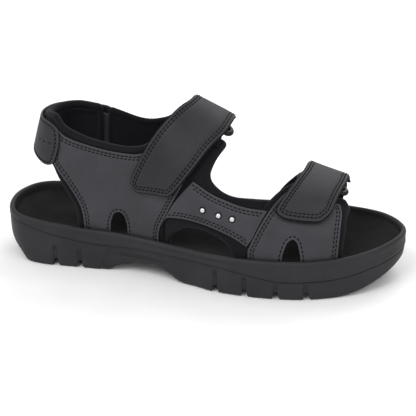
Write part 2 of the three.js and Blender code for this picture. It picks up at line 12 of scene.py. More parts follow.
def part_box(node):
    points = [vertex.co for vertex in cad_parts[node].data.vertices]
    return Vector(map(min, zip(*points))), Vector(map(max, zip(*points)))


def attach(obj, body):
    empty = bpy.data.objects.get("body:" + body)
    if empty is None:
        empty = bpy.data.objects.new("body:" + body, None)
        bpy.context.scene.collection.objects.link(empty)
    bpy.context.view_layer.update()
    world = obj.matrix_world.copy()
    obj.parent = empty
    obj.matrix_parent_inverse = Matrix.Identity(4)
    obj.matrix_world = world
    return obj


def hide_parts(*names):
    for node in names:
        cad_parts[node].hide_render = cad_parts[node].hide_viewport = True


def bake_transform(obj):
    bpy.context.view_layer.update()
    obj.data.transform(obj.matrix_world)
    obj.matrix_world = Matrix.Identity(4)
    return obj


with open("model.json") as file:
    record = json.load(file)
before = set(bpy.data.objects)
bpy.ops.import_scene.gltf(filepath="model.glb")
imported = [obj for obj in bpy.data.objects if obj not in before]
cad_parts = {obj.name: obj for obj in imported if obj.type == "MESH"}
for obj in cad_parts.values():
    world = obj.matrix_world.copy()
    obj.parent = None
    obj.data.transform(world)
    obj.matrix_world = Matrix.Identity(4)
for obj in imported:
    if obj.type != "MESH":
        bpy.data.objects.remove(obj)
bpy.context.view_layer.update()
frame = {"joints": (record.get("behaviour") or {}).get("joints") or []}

# Outsole: a moulded tread of charcoal polyurethane under the whole foot, with lug grooves, a raised
# arch and a spring at the toe. It is lofted in rings round the plan of the sole, then closed below.
RIM_PLAN = np.array([
    [6.2, -5], [9.5, -23], [19, -35], [36, -39.3], [60, -38.8], [94, -38.6], [117, -41.8], [140, -47.6],
    [163, -53.4], [185, -55.6], [206, -55.4], [228, -52.2], [248, -45], [266, -35], [281, -21.5],
    [289.5, -8], [292.4, 6], [287.5, 19], [276, 33], [262, 42], [244, 47.6], [215, 49], [185, 45.5],
    [154, 43.5], [120, 39], [85, 35], [50, 32.5], [30, 30.5], [16, 21.5], [8.5, 8],
])
TOE_POINT = 16
HALF_ROUND = 460
HEEL_GROOVES, FOREFOOT_GROOVES = (47, 65), (167, 188, 210, 231)
SIPES = (56, 177.5, 199, 220.5, 241)
GROOVE_DEPTH = 4.5
CORE_LEVEL, TOE_CORE_RISE = 14, 8
HEEL_ROUNDING, HEEL_BULGE, TOE_BULGE = 17, 1.4, 1.0
CREASE_DEPTH, WAIST_DEPTH = 1.3, 0.8
TOE_SPRING_AT, TOE_SPRING = 245, 17


def rim(part):
    """Points of the closed plan curve at parts of its control points."""
    place = np.mod(np.asarray(part, float), len(RIM_PLAN))
    first = np.floor(place).astype(int)
    t = (place - first)[..., None]
    p0, p1, p2, p3 = (RIM_PLAN[(first + k) % len(RIM_PLAN)] for k in (-1, 0, 1, 2))
    d0, d1, d2 = (np.linalg.norm(b - a, axis=-1)[..., None] ** 0.5 for a, b in ((p0, p1), (p1, p2), (p2, p3)))
    m1 = ((p1 - p0) / d0 - (p2 - p0) / (d0 + d1) + (p2 - p1) / d1) * d1
    m2 = ((p2 - p1) / d1 - (p3 - p1) / (d1 + d2) + (p3 - p2) / d2) * d1
    return p1 + m1 * t + (3 * (p2 - p1) - 2 * m1 - m2) * t ** 2 + (2 * (p1 - p2) + m1 + m2) * t ** 3


def rim_inward(part):
    along = rim(np.asarray(part) + 0.02) - rim(np.asarray(part) - 0.02)
    along /= np.linalg.norm(along, axis=-1)[..., None]
    return np.stack([-along[..., 1], along[..., 0]], -1)


def rim_inside(part, inset):
    return rim(part) + rim_inward(part) * np.asarray(inset, float)[..., None]


def through(points):
    """Smooth curve through points (x, value), level beyond its ends."""
    xs, ys = np.array(points, float).T
    slope = np.zeros(len(xs))
    slope[1:-1] = (ys[2:] - ys[:-2]) / (xs[2:] - xs[:-2])
    slope[0] = (ys[1] - ys[0]) / (xs[1] - xs[0])
    slope[-1] = (ys[-1] - ys[-2]) / (xs[-1] - xs[-2])

    def value(x):
        x = np.clip(x, xs[0], xs[-1])
        i = np.clip(np.searchsorted(xs, x, "right") - 1, 0, len(xs) - 2)
        width = xs[i + 1] - xs[i]
        t = (x - xs[i]) / width
        bend = t * (1 - t) * width * (slope[i] * (1 - t) - slope[i + 1] * t)
        return ys[i] + (ys[i + 1] - ys[i]) * t * t * (3 - 2 * t) + bend
    return value


def ease(low, high, x):
    t = np.clip((x - low) / (high - low), 0, 1)
    return t * t * (3 - 2 * t)


def pulses(x, places, half_width):
    return np.clip(sum(np.exp(-((x - p) / half_width) ** 6) for p in places), 0, 1)


rim_height = through([(6, 36), (60, 33), (120, 30.5), (190, 30), (250, 31), (292, 36)])
parting_height = through([
    (6, 32), (24, 32), (45, 26.5), (75, 21.5), (115, 22), (165, 22), (195, 17.5), (211, 15), (231, 15),
    (252, 16), (278, 21), (292, 24)])
arch_height = through([
    (84, 0), (88, 1.2), (92, 4), (98, 7.2), (106, 9.1), (114, 9.5), (123, 8.4), (132, 5), (138, 1.6), (143, 0)])


def toe_lift(x):
    return np.maximum(0, (x - TOE_SPRING_AT) / 47) ** 2


def above_core(rise):
    return lambda x, y: CORE_LEVEL + TOE_CORE_RISE * toe_lift(x) + rise


def above_step(rise):
    return lambda x, y: parting_height(x) + rise


def tread(x, y):
    """Height of the underside: lug grooves right across, and sipes in the middle between them."""
    grooves = pulses(x, HEEL_GROOVES + FOREFOOT_GROOVES, 2.0) * GROOVE_DEPTH
    cuts = pulses(x, SIPES, 1.2) * (1 - ease(20, 25, np.abs(y + 3))) * 3.0
    ground = np.maximum(TOE_SPRING * toe_lift(x), arch_height(x))
    return ground + np.maximum(grooves, cuts)


def even_parts(first, last):
    dense = np.linspace(first, last, 6000)
    steps = np.linalg.norm(np.diff(rim(dense), axis=0), axis=1)
    length = np.concatenate([[0], np.cumsum(steps)])
    return np.interp(np.linspace(0, length[-1], HALF_ROUND + 1), length, dense)


round_parts = np.concatenate([even_parts(0, TOE_POINT), even_parts(len(RIM_PLAN), TOE_POINT)[-2:0:-1]])
round_x = rim(round_parts)[:, 0]
heel_share, toe_share = (np.clip(turn * rim_inward(round_parts)[:, 0], 0, 1) ** 2 for turn in (1, -1))
sole_low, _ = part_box("midsole")
DATUM = np.append(np.array(sole_low[:2]) * 1000 - rim(np.linspace(0, len(RIM_PLAN), 2000)).min(0), 0)


def ring(inset, height):
    """Closed ring of points inside the plan; both are numbers, arrays or functions of x and y."""
    inset = np.broadcast_to(np.asarray(inset, float), round_parts.shape)
    plan = rim_inside(round_parts, inset)
    level = height(*plan.T) if callable(height) else np.broadcast_to(height, len(plan))
    return np.column_stack([plan, level])


def lofted(rings):
    count = len(rings[0])
    faces = []
    for low in range(0, (len(rings) - 1) * count, count):
        high = low + count
        faces += [(low + k, low + (k + 1) % count, high + (k + 1) % count, high + k) for k in range(count)]
    return np.vstack(rings), faces


def spanned(edge, height, columns=44):
    """Sheet from the lateral to the medial half of a ring, at a height over the plan."""
    left = edge[:HALF_ROUND + 1, :2]
    right = edge[-np.arange(HALF_ROUND + 1), :2]
    t = (0.5 - 0.5 * np.cos(np.linspace(0, math.pi, columns + 1)))[None, :, None]
    plan = left[:, None] * (1 - t) + right[:, None] * t
    points = np.concatenate([plan, height(plan[..., 0], plan[..., 1])[..., None]], -1).reshape(-1, 3)
    wide = columns + 1
    faces = [(r * wide + c, r * wide + c + 1, (r + 1) * wide + c + 1, (r + 1) * wide + c)
             for r in range(HALF_ROUND) for c in range(columns)]
    return points, faces


def together(*sheets):
    points, faces, start = [], [], 0
    for sheet_points, sheet_faces in sheets:
        points.append(sheet_points)
        faces += [tuple(start + i for i in face) for face in sheet_faces]
        start += len(sheet_points)
    return np.vstack(points), faces


def settled(name, mesh, body):
    """A smooth object for a mesh, which rides on one body; given two bodies, it is only fixed in place."""
    mesh.polygons.foreach_set("use_smooth", [True] * len(mesh.polygons))
    made = bpy.data.objects.new(name, mesh)
    bpy.context.scene.collection.objects.link(made)
    if isinstance(body, str):
        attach(made, body)
    else:
        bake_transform(made)
    return made


def piece(name, points, faces, material, slot, stands_for=(), body="sandal", flat=None, wear=None, weld=0.01):
    """A closed mesh that rides on a body; flat is its pattern in mm, wear a mask along its edges."""
    mesh = bpy.data.meshes.new(name)
    mesh.from_pydata(((np.asarray(points) + DATUM) / 1000).tolist(), [], faces)
    if flat is not None:
        corner_points = np.empty(len(mesh.loops), int)
        mesh.loops.foreach_get("vertex_index", corner_points)
        mesh.uv_layers.new(name="pattern").data.foreach_set("uv", (np.asarray(flat)[corner_points] / 1000).ravel())
    if wear is not None:
        mesh.attributes.new("edge_wear", "FLOAT", "POINT").data.foreach_set("value", np.asarray(wear, float))
    work = bmesh.new()
    work.from_mesh(mesh)
    bmesh.ops.remove_doubles(work, verts=work.verts, dist=weld / 1000)
    bmesh.ops.dissolve_degenerate(work, edges=work.edges, dist=1e-7)
    bmesh.ops.recalc_face_normals(work, faces=work.faces)
    work.to_mesh(mesh)
    work.free()
    mesh.materials.append(material)
    made = settled(name, mesh, body)
    if stands_for:
        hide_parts(*stands_for)
    return made


def effect(name, inputs, outputs):
    """An empty shader group with named sockets, and its two end nodes."""
    group = bpy.data.node_groups.new(name, "ShaderNodeTree")
    for label, value in inputs.items():
        kind = "NodeSocketVector" if value is None else "NodeSocketFloat"
        socket = group.interface.new_socket(label, in_out="INPUT", socket_type=kind)
        if value is not None:
            socket.default_value = value
    for label, kind in outputs.items():
        group.interface.new_socket(label, in_out="OUTPUT", socket_type=kind)
    return group, group.nodes.new("NodeGroupInput"), group.nodes.new("NodeGroupOutput")


def feed(tree, socket, value):
    """Sets a socket's value, or links another socket to it."""
    if isinstance(value, bpy.types.NodeSocket):
        tree.links.new(value, socket)
    else:
        socket.default_value = value


def connect(tree, target, **sockets):
    for label, value in sockets.items():
        feed(tree, target.inputs[label.replace("_", " ")], value)


def node(tree, kind, **sockets):
    made = tree.nodes.new(kind)
    connect(tree, made, **sockets)
    return made


def grouped(tree, group, **sockets):
    """A shader group's node in a material, with its inputs."""
    made = tree.nodes.new("ShaderNodeGroup")
    made.node_tree = group
    connect(tree, made, **sockets)
    return made


def maths(tree, operation, first, second):
    made = tree.nodes.new("ShaderNodeMath")
    made.operation = operation
    feed(tree, made.inputs[0], first)
    feed(tree, made.inputs[1], second)
    return made.outputs[0]


def grain_effect():
    """Pebbled grain: pores of a size in mm over a broader, uneven mottle."""
    tree, given, result = effect(
        "Grain", {"Place": None, "Pore size": 1.0, "Depth": 0.3},
        {"Normal": "NodeSocketVector", "Mottle": "NodeSocketFloat", "Pores": "NodeSocketFloat"})
    place = given.outputs["Place"]
    scale = maths(tree, "DIVIDE", 1000.0, given.outputs["Pore size"])
    cells = node(tree, "ShaderNodeTexVoronoi", Vector=place, Scale=scale, Randomness=0.95)
    fine = node(tree, "ShaderNodeTexNoise", Vector=place, Scale=maths(tree, "MULTIPLY", scale, 2.2), Detail=3.0)
    creases = node(tree, "ShaderNodeTexNoise", Vector=place, Scale=150.0, Detail=3.0)
    broad = node(tree, "ShaderNodeTexNoise", Vector=place, Scale=38.0, Detail=4.0, Roughness=0.6)
    height = maths(tree, "ADD", maths(tree, "MULTIPLY", cells.outputs["Distance"], 0.7),
                   maths(tree, "MULTIPLY", fine.outputs["Fac"], 0.4))
    height = maths(tree, "ADD", height, maths(tree, "MULTIPLY", creases.outputs["Fac"], 0.8))
    bump = node(tree, "ShaderNodeBump", Strength=given.outputs["Depth"], Distance=0.0003, Height=height)
    connect(tree, result, Normal=bump.outputs["Normal"], Mottle=broad.outputs["Fac"], Pores=cells.outputs["Distance"])
    return tree


GRAIN = grain_effect()


def ramp(tree, factor, *stops):
    made = node(tree, "ShaderNodeValToRGB", Fac=factor)
    for stop, (place, colour) in zip(made.color_ramp.elements, stops):
        stop.position, stop.color = place, (*colour, 1)
    return made.outputs["Color"]


def plain(name, roughness, **sockets):
    material = bpy.data.materials.new(name)
    material.use_nodes = True
    shader = material.node_tree.nodes["Principled BSDF"]
    connect(material.node_tree, shader, Roughness=roughness, **sockets)
    return material, material.node_tree, shader


def placed(tree, pattern):
    """The piece's own pattern, or its place in the object where it has none."""
    if pattern:
        made = tree.nodes.new("ShaderNodeUVMap")
        made.uv_map = "pattern"
        return made.outputs["UV"]
    return tree.nodes.new("ShaderNodeTexCoord").outputs["Object"]


def grained(name, dark, light, roughness, pore, depth, pattern=True, worn=None, **sockets):
    """Leather, foam or rubber: mottled colour, pores, and where it is worn a paler edge."""
    material, tree, shader = plain(name, roughness, **sockets)
    grain = grouped(tree, GRAIN, Pore_size=pore, Depth=depth, Place=placed(tree, pattern))
    colour = ramp(tree, grain.outputs["Mottle"], (0.3, dark), (0.7, light))
    if worn:
        mask = tree.nodes.new("ShaderNodeAttribute")
        mask.attribute_name = "edge_wear"
        mix = tree.nodes.new("ShaderNodeMix")
        mix.data_type = "RGBA"
        mix.inputs[7].default_value = (*worn, 1)
        tree.links.new(maths(tree, "MULTIPLY", mask.outputs["Fac"], 0.75), mix.inputs[0])
        tree.links.new(colour, mix.inputs[6])
        colour = mix.outputs[2]
    uneven = maths(tree, "ADD", maths(tree, "MULTIPLY", grain.outputs["Pores"], 0.15), roughness - 0.06)
    connect(tree, shader, Base_Color=colour, Roughness=uneven, Normal=grain.outputs["Normal"])
    return material


SOLE = grained("moulded_sole", (0.0165, 0.0165, 0.0185), (0.024, 0.024, 0.027), 0.55, 1.3, 0.3, pattern=False,
               Specular_IOR_Level=0.22)


def tread_side(inset, rise):
    """Ring of the side wall: rise is 0 at the ground edge and 1 under the step."""
    waist = ease(78 + 9 * rise, 80 + 9 * rise, round_x) - ease(150, 163, round_x)
    crease = pulses(round_x, HEEL_GROOVES, 1.5) * (1 - ease(0.45, 0.7, rise))
    crease = crease + pulses(round_x, FOREFOOT_GROOVES, 1.5) * (1 - ease(0.70, 0.95, rise))
    bulge = HEEL_BULGE * heel_share + TOE_BULGE * toe_share - HEEL_ROUNDING * (1 - rise) ** 5 * heel_share
    depth = inset - bulge + CREASE_DEPTH * crease + WAIST_DEPTH * waist

    def level(x, y):
        ground = tread(x, y)
        return ground + (parting_height(x) - 0.4 - ground) * rise
    return ring(depth, level)


TREAD_PROFILE = (
    (5.5, 0.0), (3.9, 0.012), (3.1, 0.04), (2.7, 0.08), (2.45, 0.13), (2.3, 0.19), (2.2, 0.26), (2.1, 0.34),
    (2.0, 0.42), (1.9, 0.5), (1.85, 0.56), (1.8, 0.62), (1.75, 0.68), (1.7, 0.74), (1.65, 0.8), (1.6, 0.86),
    (1.55, 0.92), (1.6, 0.96), (1.8, 0.99), (2.1, 1.0))
tread_rings = [tread_side(*stage) for stage in TREAD_PROFILE]
tread_rings += [ring(2.5, above_step(-1.2)), ring(2.6, above_core(0))]
points, faces = together(
    lofted(tread_rings), spanned(tread_rings[0], tread), spanned(tread_rings[-1], above_core(0), 6))
piece("tread_unit", points, faces, SOLE, "sole_pu", ("outsole",))

# Sole cup: the upper part of the same moulded sole, stepped out over the tread, with a rounded rim that
# stands round the footbed. The uppers go down between the rim and the footbed.
WALL_INSET, CUP_BOTTOM, CUP_FLOOR = 3.9, 0.4, 2.9


def band(inset, share):
    return ring(inset, lambda x, y: parting_height(x) + (rim_height(x) - parting_height(x)) * share)


heel_lip = through([(6, 2.6), (28, 2.3), (62, 0)])  # how far the rim stands up behind the heel


def lip(inset, drop):
    return ring(inset, lambda x, y: rim_height(x) + heel_lip(x) - drop)


cup_rings = [
    ring(2.9, above_core(CUP_BOTTOM)), ring(2.7, above_step(-0.2)),
    band(2.2, 0.0), band(1.2, 0.0), band(0.6, 0.02), band(0.25, 0.06), band(0.08, 0.12), band(0.0, 0.2),
    band(0.1, 0.3), band(0.22, 0.4), band(0.26, 0.5), band(0.18, 0.6), lip(0.06, 3.4), lip(0.0, 2.7), lip(0.06, 2.0),
    lip(0.24, 1.4), lip(0.55, 0.86), lip(0.98, 0.42), lip(1.5, 0.14), lip(2.05, 0.03), lip(2.6, 0.14),
    lip(3.05, 0.42), lip(3.4, 0.9), lip(3.65, 1.6), lip(3.8, 2.6), lip(WALL_INSET, 5.0),
    ring(WALL_INSET + 0.1, above_core(CUP_FLOOR))]
points, faces = together(
    lofted(cup_rings), spanned(cup_rings[-1], above_core(CUP_FLOOR), 6),
    spanned(cup_rings[0], above_core(CUP_BOTTOM), 6))
piece("sole_cup", points, faces, SOLE, "sole_pu", ("midsole",))

# Insole board and footbed: a fibre board glued in the cup, a foam bed over it and a black suede cover
# that follows the hollow of the foot. The bed stands back where the uppers go down beside it.
BED_INSET, SLOT_INSET = 4.1, 8.0
BED_HOLLOW, BED_EDGE = 3.5, 1.6
hollow = through([(0, 0), (7, 0.45), (16, 0.85), (24, 1)])
bed_edge = rim_inside(round_parts[::3], np.full(len(round_parts[::3]), BED_INSET))
lateral_side = np.arange(len(round_parts)) <= HALF_ROUND


def slot_mask(x, spans):
    return sum(ease(a - 1, a + 1, x) - ease(b - 1, b + 1, x) for a, b in spans)


slotted = np.where(lateral_side, slot_mask(round_x, ((61, 136), (172, 257))),
                   slot_mask(round_x, ((74, 136), (182, 247))))
bed_inset = BED_INSET + (SLOT_INSET - BED_INSET) * slotted


def nearest(points, targets):
    """Distance from each point to the closest target."""
    return np.concatenate([
        np.sqrt(((points[k:k + 1000, None] - targets[None]) ** 2).sum(-1).min(1))
        for k in range(0, len(points), 1000)])


def dished(drop, turned=0.0):
    """Height over the bed, a drop below the rim, with a turned edge."""
    def level(x, y):
        flat = np.stack([np.ravel(x), np.ravel(y)], -1)
        gap = nearest(flat, bed_edge).reshape(np.shape(x))
        edge = turned * (1 - np.sqrt(1 - (1 - np.clip(gap / BED_EDGE, 0, 1)) ** 2))
        return rim_height(x) - drop - BED_HOLLOW * hollow(gap) - edge
    return level


def bed_layer(name, top, bottom, columns, material, slot, node_name):
    edge = ring(bed_inset, 0.0)
    upper, lower = spanned(edge, top, columns), spanned(edge, bottom, columns)
    count, wide = len(upper[0]), columns + 1
    border = [r * wide for r in range(HALF_ROUND + 1)] + [r * wide + columns for r in range(HALF_ROUND, -1, -1)]
    walls = [(a, b, b + count, a + count) for a, b in zip(border, border[1:] + border[:1])]
    points, faces = together(upper, lower)
    piece(name, points, faces + walls, material, slot, (node_name,))


BOARD = grained("fibre_board", (0.10, 0.07, 0.04), (0.16, 0.12, 0.07), 0.9, 1.2, 0.6, pattern=False)
FOAM = grained("bed_foam", (0.008, 0.008, 0.009), (0.015, 0.015, 0.016), 0.9, 2.0, 0.5, pattern=False,
               Specular_IOR_Level=0.1)
SUEDE = grained("footbed_suede", (0.008, 0.008, 0.008), (0.015, 0.015, 0.015), 0.96, 0.7, 0.5, pattern=False,
                Specular_IOR_Level=0.06, Sheen_Weight=0.01)
bed_layer("lasting_board", above_core(4.8), above_core(3.3), 6, BOARD, "insole_board", "insole_board")
bed_layer("footbed_foam_core", dished(4.9), above_core(5.2), 24, FOAM, "footbed_foam", "footbed")
bed_layer("footbed_suede_top", dished(3, 0.9), dished(4.5), 44, SUEDE, "footbed_cover", "footbed_cover")

# Linings: padded black knit, cut as flat patterns and bent round the foot, with a quilted double roll
# at the collar and a turned, stuffed edge wherever the lining shows past the leather.
BASE, TUCK, PANEL_INSET = 28.0, 6.0, 7.7
HEEL_START, QUARTER_ARC = 55.0, 45.0
LEAN_FROM, HEEL_LEAN = 80, 0.12
FURROW_DEPTH, FURROW_WIDTH = 0.4, 0.55
EDGE_BANDS = (0.13, 0.4, 0.9, 1.7)
ROLL_BANDS = (0.15, 0.45, 0.9, 1.5, 2.2, 3.0, 3.8, 4.6, 5.5, 6.4, 7.4, 8.4)
LINING_LAYER = (0.0, 1.5)
low, high = BASE - TUCK, 180 + TUCK


def base_line(first, last):
    points = rim_inside(np.linspace(first, last, 61), np.full(61, PANEL_INSET))
    return through(points[np.argsort(points[:, 0])])


lateral_base = base_line(3, TOE_POINT - 2)
medial_base = base_line(len(RIM_PLAN) - 3, TOE_POINT + 2)
crest_height = through([
    (45, 165), (60, 160), (80, 150), (100, 138), (120, 126), (139, 115), (166, 101.5), (200, 81),
    (219, 70.5), (248, 61.5), (275, 55)])
crest_side = through([(45, 0), (139, 4), (200, 4), (250, 5)])
fullness = through([(45, 1.5), (100, 1.7), (139, 2.1), (200, 2.2), (250, 2.2)])


def side_y(x, height, lateral):
    base = np.where(lateral, lateral_base(x), medial_base(x))
    share = np.clip((height - BASE) / (crest_height(x) - BASE), 0, 1)
    return crest_side(x) + (base - crest_side(x)) * np.sqrt(np.maximum(1 - share ** fullness(x), 0))


def over(u, v):
    """Pattern over the foot: x, and degrees round the section from the lateral to the medial side."""
    angle = np.where(v < 90, v, 180 - v)
    share = np.sin(np.radians(np.maximum(angle, 0))) ** (2 / fullness(u))
    height = BASE + (crest_height(u) - BASE) * share
    return np.stack([u, side_y(u, height, v < 90), height + np.minimum(angle, 0)], -1)


def wrap(u, v):
    """Pattern round the heel: length from the back of the heel, lateral negative, and height."""
    turn = np.clip(u / QUARTER_ARC, -1, 1) * math.pi / 2
    along = HEEL_START + np.maximum(np.abs(u) - QUARTER_ARC, 0)
    left, right = side_y(along, v, True), side_y(along, v, False)
    radius = (right - left) / 2 - np.maximum(0, v - LEAN_FROM) * HEEL_LEAN
    return np.stack([along - radius * np.cos(turn), (left + right) / 2 + (right - left) / 2 * np.sin(turn), v], -1)


over.outward, over.stretch = 1, np.array([1, 0.9])
wrap.outward, wrap.stretch = -1, np.array([1, 1])


def L(x):
    return HEEL_START - QUARTER_ARC - x


def M(x):
    return x - HEEL_START + QUARTER_ARC


def directions(pattern, flat):
    u, v = flat[:, 0], flat[:, 1]
    along = (pattern(u + 0.8, v) - pattern(u - 0.8, v)) / 1.6
    up = (pattern(u, v + 0.8) - pattern(u, v - 0.8)) / 1.6
    normal = np.cross(along, up)
    return along, up, normal / np.linalg.norm(normal, axis=1)[:, None]


def on_last(pattern, flat, offset):
    flat = np.asarray(flat, float)
    offset = np.broadcast_to(np.asarray(offset, float), len(flat))
    return pattern(flat[:, 0], flat[:, 1]) + directions(pattern, flat)[2] * (offset * pattern.outward)[:, None]


def inwards(pattern, loop, distance):
    """A closed anticlockwise loop moved inwards by a distance in mm along the foot."""
    along, up, normal = directions(pattern, loop)
    place = on_last(pattern, loop, 0)
    inward = np.cross(normal, np.roll(place, -1, 0) - np.roll(place, 1, 0))
    inward /= np.linalg.norm(inward, axis=1)[:, None]
    aa, ab, bb = (along * along).sum(1), (along * up).sum(1), (up * up).sum(1)
    ia, ib = (inward * along).sum(1), (inward * up).sum(1)
    move = np.stack([ia * bb - ib * ab, ib * aa - ia * ab], -1) / (aa * bb - ab * ab)[:, None]
    return loop + move * np.asarray(distance, float).reshape(-1, 1)


def outline(corners, spacing=1.0):
    """Anticlockwise dense points round the corners (u, v, rounding), and where each corner starts."""
    flat = np.array([c[:2] for c in corners], float)
    ahead = np.roll(flat, -1, 0)
    backwards = (flat[:, 0] * ahead[:, 1] - ahead[:, 0] * flat[:, 1]).sum() < 0
    bends, starts = [], []
    for i, here in enumerate(flat):
        rounding = corners[i][2] if len(corners[i]) > 2 else 0.3
        before, after = flat[i - 1], flat[(i + 1) % len(flat)]
        first = here + (before - here) * min(rounding / np.linalg.norm(before - here), 0.495)
        last = here + (after - here) * min(rounding / np.linalg.norm(after - here), 0.495)
        starts.append(len(bends))
        t = np.linspace(0, 1, 9 if rounding > 0.5 else 3)[:, None]
        bends.extend((1 - t) ** 2 * first + 2 * t * (1 - t) * here + t * t * last)
    dense, marks = [], []
    for here, after in zip(bends, bends[1:] + bends[:1]):
        marks.append(len(dense))
        count = max(1, math.ceil(np.linalg.norm(after - here) / spacing))
        dense.extend(here + (after - here) * k / count for k in range(count))
    dense, marks = np.array(dense), [marks[s] for s in starts]
    if backwards:
        dense, marks = dense[::-1], [len(dense) - 1 - m for m in marks]
    return dense, marks, backwards


def stretch_of(marks, count, backwards, first, last):
    """Indices of the loop from one listed corner to another, in the listed order."""
    begin, end = marks[first], marks[last]
    if backwards:
        begin, end = end, begin
    return np.arange(begin, end + 1 if end > begin else end + 1 + count) % count


def edge_gap(points, loop):
    """Distance from points to a closed polyline, and its closest segment."""
    start, run = loop, np.roll(loop, -1, 0) - loop
    square = (run ** 2).sum(1)
    gaps, which = np.empty(len(points)), np.empty(len(points), int)
    for k in range(0, len(points), 500):
        away = points[k:k + 500, None] - start[None]
        t = np.clip((away * run).sum(-1) / square, 0, 1)
        distance = ((away - t[..., None] * run) ** 2).sum(-1)
        which[k:k + 500] = distance.argmin(1)
        gaps[k:k + 500] = np.sqrt(distance.min(1))
    return gaps, which


def within(points, loop):
    x, y = points.T
    found = np.zeros(len(points), bool)
    for (ax, ay), (bx, by) in zip(loop, np.roll(loop, -1, 0)):
        crosses = (ay > y) != (by > y)
        found ^= crosses & (x < (bx - ax) * (y - ay) / (by - ay if by != ay else 1) + ax)
    return found


def rolled(gap, ridges, thin):
    """Half thickness of padding at a distance from its edge: round ridges side by side."""
    swell = np.where(gap > ridges[0], thin, 0.0)
    centre = 0.0
    for radius in ridges:
        centre += radius
        swell = np.maximum(swell, np.sqrt(np.maximum(radius ** 2 - (gap - centre) ** 2, 0)))
        centre += radius * 0.82
    return swell


def panel(name, pattern, corners, layers, material, slot, stands_for=(), body="sandal", seams=(), rolls=(),
          pits=(), lift=None, grow=0.0, edge=0.45, crown=0.0, grid=2.3):
    """A cut piece bent on the foot. A seam is (first corner, last corner, distance from the edge), a roll
    (first corner, last corner, ridge radii), a pit (u, v, radius, depth). Returns the piece and its seam lines."""
    loop, marks, backwards = outline(corners)
    if grow:
        loop = inwards(pattern, loop, -grow)
    border = on_last(pattern, loop, 0)

    def clear(at, least):
        return at[edge_gap(on_last(pattern, at, 0), border)[0] > least]

    bands = ROLL_BANDS if rolls else EDGE_BANDS
    added = [clear(inwards(pattern, loop, distance)[:: 1 if distance < 2 else 2], distance * 0.9)
             for distance in bands]
    lines, beside = [], []
    for first, last, distance in seams:
        span = stretch_of(marks, len(loop), backwards, first, last)
        for side in (-0.5, 0.0, 0.5):
            moved = clear(inwards(pattern, loop, distance + side)[span], (distance + side) * 0.95)
            (lines if side == 0 else beside).append(moved)
    for u, v, radius, depth in pits:
        _, up, _ = directions(pattern, np.array([[u, v]]))
        tall = 1 / np.linalg.norm(up)
        turn = np.linspace(0, 2 * math.pi, 21)[:-1]
        added += [np.stack([u + r * np.cos(turn), v + r * tall * np.sin(turn)], -1)
                  for r in np.array([0.05, 0.5, 0.85, 1.0, 1.15, 1.45]) * radius]
    mesh_u, mesh_v = np.meshgrid(*(np.arange(a, b, grid) for a, b in zip(loop.min(0), loop.max(0))))
    mesh_u[::2] += grid / 2
    inner_grid = np.stack([mesh_u.ravel(), mesh_v.ravel()], -1)
    inner_grid = clear(inner_grid[within(inner_grid, loop)], bands[-1] + 0.8)
    if lines:
        sewn = on_last(pattern, np.vstack(lines), 0)
        added += lines + beside
        inner_grid = inner_grid[nearest(on_last(pattern, inner_grid, 0), sewn) > 1.2]
    wanted = np.vstack([loop, *added, inner_grid])
    edges = [(i, (i + 1) % len(loop)) for i in range(len(loop))]
    found = delaunay_2d_cdt([Vector(p) for p in wanted * pattern.stretch], edges, [], 0, 1e-3, False)
    flat = np.array([tuple(p) for p in found[0]]) / pattern.stretch
    triangles = np.array(found[2])
    triangles = triangles[within(flat[triangles].mean(1), loop)]

    place = on_last(pattern, flat, 0)
    gap, which = edge_gap(place, border)
    inner, outer = np.full(len(flat), float(layers[0])), np.full(len(flat), float(layers[1]))
    middle, half = (layers[0] + layers[1]) / 2, (layers[1] - layers[0]) / 2
    if rolls:
        thick = np.where(gap > edge, half, half - edge + np.sqrt(np.maximum(edge ** 2 - (edge - gap) ** 2, 0)))
        for first, last, ridges in rolls:
            share = np.zeros(len(loop))
            share[stretch_of(marks, len(loop), backwards, first, last)] = 1
            wide = np.ones(9) / 9
            share = np.convolve(np.concatenate([share[-4:], share, share[:4]]), wide, "valid")[which]
            thick = thick + (rolled(gap, ridges, half) - thick) * share
        inner = middle - thick
        outer = middle + thick - np.maximum(0, thick - 1.1) * ease(4.0, 5.5, gap)
    else:
        rounded = edge - np.sqrt(np.maximum(edge ** 2 - (edge - np.minimum(gap, edge)) ** 2, 0))
        inner, outer = inner + rounded, outer - rounded - crown * np.exp(-gap / 2.5)
    if lines:
        outer = outer - FURROW_DEPTH * np.exp(-(nearest(place, sewn) / FURROW_WIDTH) ** 2)
    for u, v, radius, depth in pits:
        away = np.linalg.norm(place - on_last(pattern, np.array([[u, v]]), 0), axis=1)
        outer = outer - depth * (1 - ease(0.8 * radius, 1.2 * radius, away))
    level = lift if lift else (lambda at: np.zeros(len(at)))
    inner, outer = inner + level(flat), outer + level(flat)
    count = len(flat)
    points = np.vstack([on_last(pattern, flat, inner), on_last(pattern, flat, outer)])
    whole = {(a, b) for t in triangles.tolist() for a, b in zip(t, t[1:] + t[:1])}
    walls = [(b, a, a + count, b + count) for a, b in whole if (b, a) not in whole]
    faces = (triangles + count).tolist() + triangles[:, ::-1].tolist() + sorted(walls)
    made = piece(name, points, faces, material, slot, stands_for, body, np.vstack([flat, flat]) * pattern.stretch,
                 np.tile(np.exp(-(gap / 0.5) ** 2), 2), 0.004)
    return made, [on_last(pattern, line, layers[1] - 0.22 - 0.1 * crown + level(line)) for line in lines]


